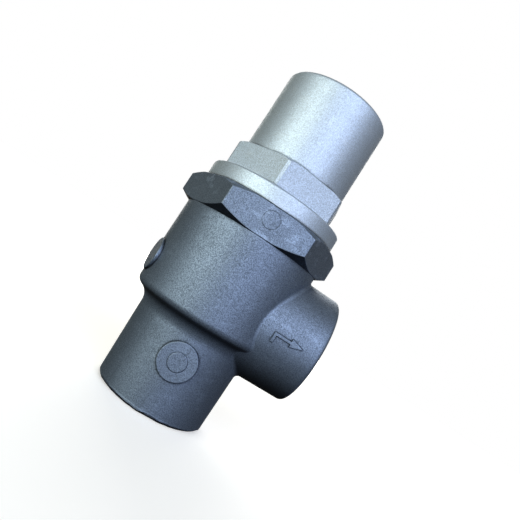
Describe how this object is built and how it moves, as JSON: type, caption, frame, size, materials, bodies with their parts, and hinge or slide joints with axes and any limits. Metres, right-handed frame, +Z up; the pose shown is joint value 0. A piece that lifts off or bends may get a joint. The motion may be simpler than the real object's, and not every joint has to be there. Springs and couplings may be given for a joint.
{
  "type": "minimum pressure valve",
  "caption": "Angle-pattern minimum pressure valve with a cast body, hexagon ring, spring bonnet, spring-loaded piston, check disc and adjusting screw.",
  "frame": {"origin": "centre of the inlet face, on the valve axis", "axes": "+Z up the valve axis from the inlet to the adjusting screw, +X out of the outlet branch"},
  "size_m": [0.0784, 0.0608, 0.1475],
  "materials": {
    "cast_dark": "dark blue-grey shot-blasted casting",
    "blasted_silver": "bead-blasted bare aluminium",
    "rubber": "moulded nitrile rubber",
    "steel": "turned steel",
    "spring_steel": "drawn spring wire",
    "zinc_plate": "zinc-plated steel",
    "brass": "turned brass",
    "bronze": "sintered bronze",
    "guide_plastic": "filled PTFE strip"
  },
  "bodies": {
    "housing": {"valve_body": "cast_dark", "hex_ring": "cast_dark", "ring_seal": "rubber", "bonnet": "blasted_silver", "bonnet_seal": "rubber"},
    "disc": {"check_disc": "steel", "seat_seal": "rubber", "seal_retainer": "steel", "seal_screw": "zinc_plate", "stem_circlip": "spring_steel", "check_spring": "spring_steel"},
    "piston": {"piston": "brass", "piston_seal": "rubber", "guide_strip": "guide_plastic", "stem_bush": "bronze", "lower_spring_seat": "zinc_plate"},
    "plate": {"spring_plate": "zinc_plate", "main_spring": "spring_steel"},
    "screw": {"adjusting_screw": "steel"},
    "nut": {"lock_nut": "zinc_plate"}
  },
  "joints": [
    {"name": "disc_lift", "type": "slide", "parent": "housing", "child": "disc", "axis": [0, 0, 1], "range_m": [0, 0.005], "stiffness_N_per_m": 10000, "springref_m": -0.003},
    {"name": "piston_lift", "type": "slide", "parent": "disc", "child": "piston", "axis": [0, 0, 1], "range_m": [0, 0.004], "stiffness_N_per_m": 10000, "springref_m": -0.003, "deforming": ["main_spring", "check_spring"]},
    {"name": "adjust_travel", "type": "slide", "parent": "housing", "child": "plate", "axis": [0, 0, 1], "range_m": [-0.003, 0.003]},
    {"name": "adjust_turn", "type": "hinge", "parent": "plate", "child": "screw", "pos_m": [0, 0, 0.13], "axis": [0, 0, 1], "range_deg": [-720, 720]},
    {"name": "lock_nut_turn", "type": "hinge", "parent": "housing", "child": "nut", "pos_m": [0, 0, 0.1426], "axis": [0, 0, 1], "range_deg": [0, 90]}
  ],
  "couplings": [
    {"joint": "adjust_turn", "follows": "adjust_travel", "rad_per_m": 4188.8}
  ]
}
